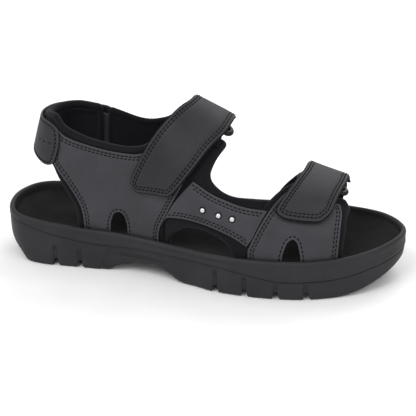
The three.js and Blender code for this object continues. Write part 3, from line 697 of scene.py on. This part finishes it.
def weave_effect():
    """Crossed threads with fuzz between them; threads is how many there are to a millimetre."""
    tree, given, result = effect(
        "Weave", {"Place": None, "Threads": 1.5, "Depth": 0.5},
        {"Normal": "NodeSocketVector", "Thread": "NodeSocketFloat"})
    axes = node(tree, "ShaderNodeSeparateXYZ", Vector=given.outputs["Place"])
    pitch = maths(tree, "MULTIPLY", given.outputs["Threads"], 2000 * math.pi)
    waves = [maths(tree, "SINE", maths(tree, "MULTIPLY", axes.outputs[label], pitch), 0.0) for label in "XY"]
    fuzz = node(tree, "ShaderNodeTexNoise", Vector=given.outputs["Place"], Scale=1800.0, Detail=2.0).outputs["Fac"]
    height = maths(tree, "ADD", maths(tree, "MULTIPLY", maths(tree, "MULTIPLY", *waves), 0.5), fuzz)
    bump = node(tree, "ShaderNodeBump", Strength=given.outputs["Depth"], Distance=0.0003, Height=height)
    connect(tree, result, Normal=bump.outputs["Normal"], Thread=height)
    return tree


WEAVE = weave_effect()


def woven(name, dark, light, threads, depth, **sockets):
    """Knitted or woven cloth: threads paler than the gaps between them."""
    material, tree, shader = plain(name, 0.92, **sockets)
    weave = grouped(tree, WEAVE, Threads=threads, Depth=depth, Place=placed(tree, True))
    colour = ramp(tree, weave.outputs["Thread"], (0.2, dark), (0.9, light))
    connect(tree, shader, Base_Color=colour, Normal=weave.outputs["Normal"])
    return material


LINING = woven("knitted_lining", (0.003, 0.003, 0.0045), (0.010, 0.0095, 0.013), 1.0, 0.5, Specular_IOR_Level=0.15,
               Sheen_Weight=0.06)
COLLAR, ROLL, SLIM, QUILT = (2.4, 2.1), (1.9,), (1.5,), (2.0, 1.8, 1.7)
quarter_lining = [
    (L(64.5), low), (L(62.5), 46, 4), (L(53), 61, 6), (-34, 75.5, 3), (-22, 80, 6), (0, 80, 8), (30, 76, 8),
    (M(67), 73, 2), (M(69), 104.4, 4), (M(55), 106.5, 5), (0, 107, 10), (-24, 112, 6), (L(44), 112, 4),
    (L(56.5), 103.5, 6), (L(72), 97, 8), (L(97), 92.5, 10), (L(112), 95, 5), (L(121), 104), (L(128), 104),
    (L(128), 60), (L(126), low), (L(101.5), low), (L(101), 38), (L(97.5), 46.5, 3), (L(90.5), 46.5, 3),
    (L(87.5), 38), (L(87), low)]
bridge_lining = [
    (129.3, 62), (129.3, 16), (128, -6), (131, -6), (133, 4, 3), (146, 10.5, 10), (164, 10.5, 10), (176, 6, 4),
    (183, -6), (187.7, -6), (197, 38), (200, 43.5), (188.5, 38.5, 8), (171.9, 34, 8), (159, 39, 6),
    (161.6, 50.5, 6), (167.5, 67, 5), (166, 70, 2), (140, 70, 4)]
vamp_lining = [
    (188.4, -6), (197.8, 38), (201, 44), (209, 62, 4), (214, 71, 2), (250, 71, 3), (254.5, 60, 3), (253.4, 50, 6),
    (253, 20, 6), (252.6, -6), (226.6, -6), (225.6, 6), (223.4, 16.5, 2), (219.8, 20.6, 2), (215.6, 16.5, 2),
    (213, 6), (212, -6)]
medial_quarter_lining = [
    (78, high), (73, 165, 4), (70.5, 152, 4), (73, 138, 4), (102, 139.5, 10), (118, 134, 6), (125, 124.5, 3),
    (159, 122, 3), (157, 128, 4), (150, 145, 6), (136, 165, 6), (132, high)]
medial_vamp_lining = [
    (192, high), (195, 171, 4), (205, 155, 5), (212, 141, 6), (218, 122, 3), (247, 122, 3), (246, 142, 6),
    (243, 160, 6), (242, high)]
LININGS = (
    ("quarter_padding", wrap, quarter_lining, "quarter_lining",
     ((0, 3, ROLL), (3, 7, SLIM), (7, 8, ROLL), (8, 17, COLLAR))),
    ("bridge_padding", over, bridge_lining, "bridge_lining", ((3, 8, ROLL), (11, 14, SLIM), (14, 18, QUILT))),
    ("vamp_padding", over, vamp_lining, "vamp_lining", ((1, 4, SLIM), (4, 5, COLLAR), (5, 9, ROLL))),
    ("medial_quarter_padding", over, medial_quarter_lining, "medial_quarter_lining",
     ((0, 3, SLIM), (3, 7, ROLL), (8, 11, SLIM))),
    ("medial_vamp_padding", over, medial_vamp_lining, "medial_vamp_lining", ((0, 4, SLIM), (5, 8, SLIM))))
for name, pattern, corners, node_name, rolls in LININGS:
    padding, _ = panel(name, pattern, corners, LINING_LAYER, LINING, "lining_textile", (node_name,), rolls=rolls)

# Leather uppers: charcoal nubuck panels cut to pattern, lapped over each other at the sides, with a
# paler cut edge and two rows of sunk stitches. The keyholes at the sole have a single row.
LEATHER_LAYER = (1.9, 3.5)
STITCH_STRETCH = 2.6
LEATHER = grained("charcoal_leather", (0.025, 0.0245, 0.029), (0.039, 0.038, 0.045), 0.50, 0.8, 0.35,
                  worn=(0.058, 0.056, 0.062), Specular_IOR_Level=0.28)
THREAD, _, _ = plain("black_thread", 0.75, Base_Color=(0.003, 0.003, 0.0035, 1), Specular_IOR_Level=0.1)


def stitch_tree():
    """Lays a bead of thread at every pitch along seam lines."""
    tree = bpy.data.node_groups.new("Stitch row", "GeometryNodeTree")
    for label, kind in (("Seams", "Geometry"), ("Pitch", "Float"), ("Thread radius", "Float"),
                        ("Thread", "Material")):
        tree.interface.new_socket(label, in_out="INPUT", socket_type="NodeSocket" + kind)
    tree.interface.new_socket("Stitches", in_out="OUTPUT", socket_type="NodeSocketGeometry")
    given, result = tree.nodes.new("NodeGroupInput"), tree.nodes.new("NodeGroupOutput")
    line = node(tree, "GeometryNodeMeshToCurve", Mesh=given.outputs["Seams"])
    even = node(tree, "GeometryNodeResampleCurve", Curve=line.outputs["Curve"])
    even.mode = "LENGTH"
    connect(tree, even, Length=given.outputs["Pitch"])
    bead = node(tree, "GeometryNodeMeshUVSphere", Segments=6, Rings=4, Radius=given.outputs["Thread radius"])
    tangent = tree.nodes.new("GeometryNodeInputTangent")
    turn = node(tree, "FunctionNodeAlignRotationToVector", Vector=tangent.outputs["Tangent"])
    turn.axis = "Z"
    laid = node(tree, "GeometryNodeInstanceOnPoints", Points=even.outputs["Curve"], Instance=bead.outputs["Mesh"],
                Rotation=turn.outputs["Rotation"], Scale=(1.0, 1.0, STITCH_STRETCH))
    real = node(tree, "GeometryNodeRealizeInstances", Geometry=laid.outputs["Instances"])
    dyed = node(tree, "GeometryNodeSetMaterial", Geometry=real.outputs["Geometry"],
                Material=given.outputs["Thread"])
    connect(tree, result, Stitches=dyed.outputs["Geometry"])
    return tree


STITCH_ROW = stitch_tree()


def grown(name, tree, source_mesh, values, body):
    """Runs a Geometry Nodes tree over a mesh and keeps the result as a plain piece."""
    source = bpy.data.objects.new(name + "_source", source_mesh)
    bpy.context.scene.collection.objects.link(source)
    modifier = source.modifiers.new("grown", "NODES")
    modifier.node_group = tree
    for socket in tree.interface.items_tree:
        if socket.in_out == "INPUT" and socket.name in values:
            modifier[socket.identifier] = values[socket.name]
    bpy.context.view_layer.update()
    mesh = bpy.data.meshes.new_from_object(source.evaluated_get(bpy.context.evaluated_depsgraph_get()))
    bpy.data.objects.remove(source)
    mesh.name = name
    return settled(name, mesh, body)


def stitched(name, lines, body="sandal", pitch=2.9, radius=0.42):
    edges, start = [], 0
    for line in lines:
        edges += [(start + i, start + i + 1) for i in range(len(line) - 1)]
        start += len(line)
    mesh = bpy.data.meshes.new(name)
    mesh.from_pydata(((np.vstack(lines) + DATUM) / 1000).tolist(), edges, [])
    values = {"Pitch": pitch / 1000, "Thread radius": radius / 1000, "Thread": THREAD}
    return grown(name, STITCH_ROW, mesh, values, body)


def double(first, last, distance=2.0, spacing=1.8):
    return (first, last, distance), (first, last, distance + spacing)


STUDS = ((157.4, 21.2), (168.5, 21.2), (178, 21.8))
lateral_quarter = [
    (L(69), low), (L(67.5), 46, 8), (L(58), 62, 10), (L(44), 79.5, 5), (L(44.5), 104, 4), (L(56.5), 96, 10),
    (L(87), 88.5, 16), (L(112), 88, 10), (L(128), 104), (L(147), 85), (L(134.6), 59, 10), (L(124.5), 38, 6),
    (L(124.5), low), (L(101), low), (L(100.5), 38, 3), (L(97.5), 46, 4), (L(90.8), 46, 4), (L(88), 38, 3),
    (L(87.5), low)]
lateral_bridge = [
    (125.4, 7), (130.3, 12.3, 2), (146, 14, 10), (165, 13.8, 10), (181, 11, 6), (189, 7.5), (192.4, 13),
    (200.6, 35.2, 1), (184.5, 31, 8), (163.7, 31, 6), (149, 34), (135.5, 19.5)]
lateral_vamp = [
    (189.7, -6), (190, 6), (192.6, 12, 3), (201.5, 35, 6), (211, 58, 4), (213, 60.3, 2), (247, 60.3, 2),
    (249.5, 50, 6), (249.4, 20, 6), (248.8, -6), (226, -6), (225, 6), (223, 16, 2), (219.8, 20, 2),
    (216, 16, 2), (213.5, 6), (212.5, -6)]
medial_quarter = [
    (80, high), (75, 165, 4), (65, 152, 4), (66, 142, 3), (100, 143.5, 10), (117, 138.5, 6), (124, 127.6),
    (155, 127.6, 2), (147, 145, 6), (133, 165, 6), (130, high)]
medial_vamp = [
    (194.5, high), (198, 171, 4), (208, 155, 5), (215, 141, 6), (221, 127.6, 2), (243, 127.6, 2), (242, 142, 6),
    (239, 160, 6), (238, high)]
LEATHERS = (
    ("quarter_leather", wrap, lateral_quarter, "lateral_quarter", (),
     (*double(0, 4), *double(4, 8), *double(9, 12), (13, 18, 1.9))),
    ("bridge_leather", over, lateral_bridge, "lateral_bridge", tuple((*at, 2.5, 0.45) for at in STUDS),
     (*double(1, 5), *double(7, 10))),
    ("vamp_leather", over, lateral_vamp, "lateral_vamp", (), (*double(0, 4), *double(6, 9), (10, 16, 1.9))),
    ("medial_quarter_leather", over, medial_quarter, "medial_quarter", (),
     (*double(0, 3), *double(3, 6), *double(7, 10))),
    ("medial_vamp_leather", over, medial_vamp, "medial_vamp", (), (*double(0, 4), *double(5, 8))))
for name, pattern, corners, node_name, pits, seams in LEATHERS:
    _, rows = panel(name, pattern, corners, LEATHER_LAYER, LEATHER, "upper_leather", (node_name,), seams=seams,
                    pits=pits, crown=0.15)
    stitched(name + "_stitches", rows)

# Studs: three domed steel rivets through the bridge, each in a small black cup pressed in the leather.
# They are turned shapes, set on the leather where the frame's studs are.
STUD_PROFILE = ((0.0, 1.05), (0.5, 1.02), (0.95, 0.88), (1.35, 0.62), (1.62, 0.34), (1.78, 0.1), (1.8, -0.1),
                (1.7, -0.35), (0.0, -0.35))
WASHER_PROFILE = ((1.75, -0.1), (1.95, 0.0), (2.25, 0.02), (2.45, -0.06), (2.5, -0.25), (2.3, -0.38), (1.75, -0.38))
STEEL = grained("stud_steel", (0.62, 0.62, 0.64), (0.74, 0.74, 0.76), 0.24, 0.9, 0.05, pattern=False, Metallic=1.0)
PLASTIC = grained("black_plastic", (0.005, 0.005, 0.006), (0.008, 0.008, 0.009), 0.24, 3.0, 0.06, pattern=False,
                  Specular_IOR_Level=0.18)


def turned(at, seat, profile, closed):
    """Rings of a turned shape on the foot, from its profile (radius, height above its seat)."""
    flat = np.array([at], float)
    centre = on_last(over, flat, seat)[0]
    along, _, normal = (d[0] for d in directions(over, flat))
    along = along / np.linalg.norm(along)
    side = np.cross(normal, along)
    turn = np.linspace(0, 2 * math.pi, 37)[:-1]
    rings = [centre + radius * (np.outer(np.cos(turn), along) + np.outer(np.sin(turn), side)) + height * normal
             for radius, height in profile]
    return lofted(rings + rings[:1]) if closed else lofted(rings)


for number, at in enumerate(STUDS, 1):
    piece(f"stud_{number}_dome", *turned(at, 3.8, STUD_PROFILE, False), STEEL, "stud_steel", (f"stud_{number}",))
    piece(f"stud_{number}_cup", *turned(at, 3.5, WASHER_PROFILE, True), PLASTIC, "loop_plastic")

# Strap loops: each closing strap passes over a moulded black loop at the top of the lateral side. A web
# keeper from the lining holds one bar, and a leather strap from the medial side the other.
BAR_RADIUS, BAR_LEVEL, BAR_FIT, WEB = 1.4, 2.9, 0.35, 1.1
LOOP_HALF_HEIGHT, LOOP_HALF_LENGTH, LOOP_AT = 3.6, 16.8, 80
HINGE_AT, MEDIAL_END, KEEPER_END, INSTEP_SLANT = 106, 127, 61, 0.25
WEBBING = woven("keeper_webbing", (0.003, 0.003, 0.003), (0.014, 0.014, 0.014), 0.8, 0.9, Specular_IOR_Level=0.15)


def loop_tube(middle, degree):
    """Rings of the loop's bar round a stadium, bent with the foot."""
    straight = LOOP_HALF_LENGTH - LOOP_HALF_HEIGHT - BAR_RADIUS * 0.5
    turn = np.linspace(-math.pi / 2, math.pi / 2, 21)
    right = np.stack([straight + LOOP_HALF_HEIGHT * np.cos(turn), LOOP_HALF_HEIGHT * np.sin(turn)], -1)
    bars = np.linspace(straight, -straight, 24)[1:-1]
    upper = np.stack([bars, np.full(22, LOOP_HALF_HEIGHT)], -1)
    path = np.vstack([right, upper, -right, -upper])
    path = path * [1, degree] + [middle, LOOP_AT]
    centre, normal = on_last(over, path, BAR_LEVEL), directions(over, path)[2]
    ahead = np.roll(centre, -1, 0) - np.roll(centre, 1, 0)
    side = np.cross(ahead, normal)
    side /= np.linalg.norm(side, axis=1)[:, None]
    angles = np.linspace(0, 2 * math.pi, 25)[:-1]
    end = ease(straight - 1.5, straight + 1.5, np.abs(path[:, 0] - middle))[:, None]
    rings = [centre + (BAR_RADIUS + 0.8 * end) * math.cos(a) * side + (BAR_RADIUS + 0.3 * end) * math.sin(a) * normal
             for a in angles]
    return lofted(rings + rings[:1])


def ribbon(section, first, last, slant, step=1.5):
    """A folded band: its section (v, offset) carried along x, with closed ends."""
    section = np.asarray(section, float)
    xs = np.linspace(first, last, max(2, int((last - first) / step)))
    flat = [np.stack([x + slant(section[:, 0]), section[:, 0]], -1) for x in xs]
    points, faces = lofted([on_last(over, at, section[:, 1]) for at in flat])
    count, total = len(section), len(points)
    length = np.concatenate([[0], np.cumsum(np.hypot(np.diff(section[:, 0]) * 0.9, np.diff(section[:, 1])))])
    pattern = np.concatenate([np.stack([np.full(count, x), length], -1) for x in xs])
    return points, faces + [tuple(range(count)), tuple(range(total - count, total))], pattern


def folded(at, tail, tailward, degree):
    """Section of a band from its tail round a bar and most of the way back."""
    reach = BAR_RADIUS + BAR_FIT + WEB
    angles = np.radians(np.linspace(-140, 140, 29))

    def arc(radius):
        return [(at - tailward * math.cos(a) * radius * degree, BAR_LEVEL + math.sin(a) * radius) for a in angles]
    start = at + tailward * (reach + 0.8) * degree
    vs = np.linspace(start, tail, max(3, int(abs(tail - start) / 2)))
    level = LEATHER_LAYER[1] - WEB
    return [*arc(reach), *arc(reach - WEB)[::-1], *((v, level + WEB) for v in vs), *((v, level) for v in vs[::-1])]


def level_slant(v):
    return np.zeros(np.shape(v))


def instep_slant(v):
    return -np.maximum(0, v - HINGE_AT) * INSTEP_SLANT


STRAPS = {
    "instep": dict(
        rear=137, front=164.5, slant=instep_slant,
        flap=[(136.5, 85, 6), (126.2, 60.3, 8), (114.7, 41.7, 8), (103.9, 26, 4), (108, 22.8, 3), (134, 23, 4),
              (140, 29, 4), (150.3, 42.7, 8), (163, 71, 8), (164.5, 85, 6)],
        patch=[(128, 56, 2), (114, 33, 2), (132, 31, 2), (149, 54, 2)]),
    "forefoot": dict(
        rear=218.5, front=246.8, slant=level_slant,
        flap=[(218, 85, 6), (214.3, 67, 8), (205.4, 36, 4), (212, 33.8, 3), (235, 36.5, 4), (241, 46, 4),
              (244.5, 70, 8), (246.8, 86, 6)],
        patch=[(219, 60, 2), (213, 42, 2), (231, 43, 2), (237, 60, 2)]),
}
for name, strap in STRAPS.items():
    middle = (strap["rear"] + strap["front"]) / 2
    near, far = on_last(over, [(middle, LOOP_AT - 2), (middle, LOOP_AT + 2)], 3)
    strap["degree"] = degree = 4 / np.linalg.norm(far - near)
    piece(f"{name}_strap_loop", *loop_tube(middle, degree), PLASTIC, "loop_plastic", (f"{name}_loop",))
    shift = LOOP_HALF_HEIGHT * degree
    points, faces, pattern = ribbon(folded(LOOP_AT - shift, KEEPER_END, -1, degree), strap["rear"] + 3,
                                    strap["front"] - 2, level_slant)
    piece(f"{name}_web_keeper", points, faces, WEBBING, "webbing", (f"{name}_keeper",), flat=pattern)
    points, faces, pattern = ribbon(folded(LOOP_AT + shift, MEDIAL_END, 1, degree), strap["rear"] + 2,
                                    strap["front"] - 2, strap["slant"])
    piece(f"{name}_loop_strap", points, faces, LEATHER, "strap_leather", (f"{name}_anchor_strap",), flat=pattern)

# Closing straps: leather over a thin black backing, sewn to the medial side. They peel open about the top of the
# foot on the real sandal, though nothing here moves them. The free end holds by hook tape on a patch of loop tape on
# the lateral side.
STRAP_LEATHER = grained("strap_leather", (0.016, 0.0155, 0.019), (0.026, 0.0255, 0.030), 0.52, 0.8, 0.35,
                        worn=(0.045, 0.044, 0.05), Specular_IOR_Level=0.2)
TAPE_LAYER, HOOK_LAYER = (3.9, 4.7), (5.1, 5.9)
BACKING_LAYER, STRAP_LAYER = (6.15, 7.15), (7.2, 8.4)
TAPE = woven("loop_tape", (0.003, 0.003, 0.004), (0.018, 0.018, 0.020), 2.2, 1.0, Specular_IOR_Level=0.1,
             Sheen_Weight=0.1)


def tape(name, pattern, corners, layers, body="sandal", grow=0.0):
    panel(name.replace("patch", "tape"), pattern, corners, layers, TAPE, "hook_and_loop", (name,), body,
          edge=0.2, grow=grow)


root_drop = through([(106, 0), (113, -0.3), (120, -1.6), (126, -2.2), (136, -2.2)])


def strap_level(flat):
    return root_drop(flat[:, 1])


joint_place = {joint["name"]: joint for joint in frame["joints"]}


def peel(joint, body, reach=0.003):
    """The sewn and free bodies of a strap, with two points either side of its fold line."""
    at = np.array(joint_place[joint]["pos_m"], float)
    return "sandal", body, tuple(at + [0, reach, 0]), tuple(at - [0, reach, 0])


for name, strap in STRAPS.items():
    rear, front, slant = strap["rear"], strap["front"], strap["slant"]
    end = MEDIAL_END + 9
    shift = float(slant(end))
    corners = [(front + shift, end, 2), (rear + shift, end, 2), (rear, HINGE_AT, 6), *strap["flap"],
               (front, HINGE_AT, 6)]
    last = len(corners) - 1
    # The black backing is real, but it is grown 0.9 mm past the leather so that a dark rim shows round the strap:
    # partly backing, partly painted shade under the strap's edge.
    bends = peel(f"{name}_strap_peel", f"{name}_closure")
    panel(f"{name}_strap_backing_and_shade_rim", over, corners, BACKING_LAYER, LINING, "lining_textile", (), bends,
          lift=strap_level, grow=0.9, edge=0.45)
    _, rows = panel(f"{name}_strap_leather", over, corners, STRAP_LAYER, STRAP_LEATHER, "strap_leather",
                    (f"{name}_root", f"{name}_flap"), bends, lift=strap_level, crown=0.25,
                    seams=(*double(1, last), *double(last, 0)))
    stitched(f"{name}_strap_stitches", rows, bends)
    tape(f"{name}_loop_patch", over, strap["patch"], TAPE_LAYER, grow=3.5)
    tape(f"{name}_hook_patch", over, strap["patch"], HOOK_LAYER, f"{name}_closure", grow=4)

# Heel strap: a leather strap round the back over a knitted pad. Its lateral end is a rounded tab with
# three small perforations, which holds by hook tape. It peels open on the real sandal, though nothing here moves it.
HEEL_HINGE = -13
HEEL_LAYER, PAD_LAYER = (4.3, 5.9), (1.9, 3.9)
heel_pad = [(HEEL_HINGE + 0.4, 82, 2), (M(58), 80, 3), (M(58), 101, 3), (20, 102.5, 6), (HEEL_HINGE + 0.4, 105, 2)]
heel_strap = [
    (20, 80, 8), (M(72), 82, 4), (M(84), 92, 6), (M(72), 101.5, 4), (20, 104.5, 8), (HEEL_HINGE, 105.5, 5),
    (-30, 106, 4), (-40, 103, 5), (-41, 92, 5), (-37, 77, 4), (-31, 75, 4), (HEEL_HINGE, 79, 5)]
heel_loop_patch = [(-17, 82, 2), (-17, 103, 2), (-33, 101, 2), (-33, 81, 2)]
heel_hook_patch = [(-18, 83, 2), (-18, 102, 2), (-32, 100, 2), (-32, 82, 2)]
PERFORATIONS = tuple((u, 91.5, 0.7, 1.1) for u in (-22, -27.5, -33))
pad, _ = panel("heel_padding", wrap, heel_pad, PAD_LAYER, LINING, "lining_textile", ("heel_pad",), edge=0.9)
bends = peel("heel_tab_peel", "heel_closure", 0.0027)
_, rows = panel("heel_strap_leather", wrap, heel_strap, HEEL_LAYER, STRAP_LEATHER, "strap_leather",
                ("heel_strap", "heel_flap"), bends, seams=((4, 11, 2.0), (11, 1, 2.0), (1, 4, 2.0)),
                pits=PERFORATIONS, crown=0.15)
stitched("heel_strap_stitches", rows, bends)
tape("heel_loop_patch", wrap, heel_loop_patch, (1.9, 2.7))
tape("heel_hook_patch", wrap, heel_hook_patch, (3.1, 3.9), "heel_closure")

# Studio: a pale floor, an even white surround and large soft lights, with a long lens on the sandal
# from its lateral side.
TARGET = np.array([0.0007, 0.003387, 0.050])
AZIMUTH, ELEVATION, DISTANCE = math.radians(12.5), math.radians(25), 1.1
scene = bpy.context.scene
floor_mesh = bpy.data.meshes.new("floor")
floor_mesh.from_pydata([(-4, -4, 0), (4, -4, 0), (4, 4, 0), (-4, 4, 0)], [], [(0, 1, 2, 3)])
floor_material, floor_tree, floor_shader = plain("pale_floor", 0.9)
paper = node(floor_tree, "ShaderNodeTexNoise", Vector=placed(floor_tree, False), Scale=40.0, Detail=2.0)
tint = ramp(floor_tree, paper.outputs["Fac"], (0.3, (0.88, 0.88, 0.88)), (0.7, (0.9, 0.9, 0.9)))
connect(floor_tree, floor_shader, Base_Color=tint)
floor_mesh.materials.append(floor_material)
floor = bpy.data.objects.new("floor", floor_mesh)
scene.collection.objects.link(floor)

world = bpy.data.worlds.new("soft_surround")
world.use_nodes = True
connect(world.node_tree, world.node_tree.nodes["Background"], Color=(1, 1, 1, 1), Strength=0.8)
scene.world = world
for name, place, size, power in (("key", (-0.5, -0.9, 1.3), 0.9, 11.0), ("fill", (0.9, -0.7, 0.9), 0.8, 3.0),
                                 ("rim", (0.3, 1.0, 1.0), 0.9, 7.0)):
    lamp = bpy.data.lights.new(name, "AREA")
    lamp.size, lamp.energy = size, power
    light = bpy.data.objects.new(name, lamp)
    light.location = place
    light.rotation_euler = (Vector(TARGET) - Vector(place)).to_track_quat("-Z", "Y").to_euler()
    scene.collection.objects.link(light)

lens = bpy.data.cameras.new("camera")
lens.lens, lens.sensor_width, lens.shift_x, lens.shift_y = 133.4, 36, 0.0030, -0.0312
lens.clip_end = 20
camera = bpy.data.objects.new("camera", lens)
away = np.array([math.sin(AZIMUTH) * math.cos(ELEVATION), -math.cos(AZIMUTH) * math.cos(ELEVATION),
                 math.sin(ELEVATION)])
camera.location = TARGET + DISTANCE * away
camera.rotation_euler = Vector(-away).to_track_quat("-Z", "Y").to_euler()
scene.collection.objects.link(camera)
scene.camera = camera
scene.view_settings.view_transform = "Standard"
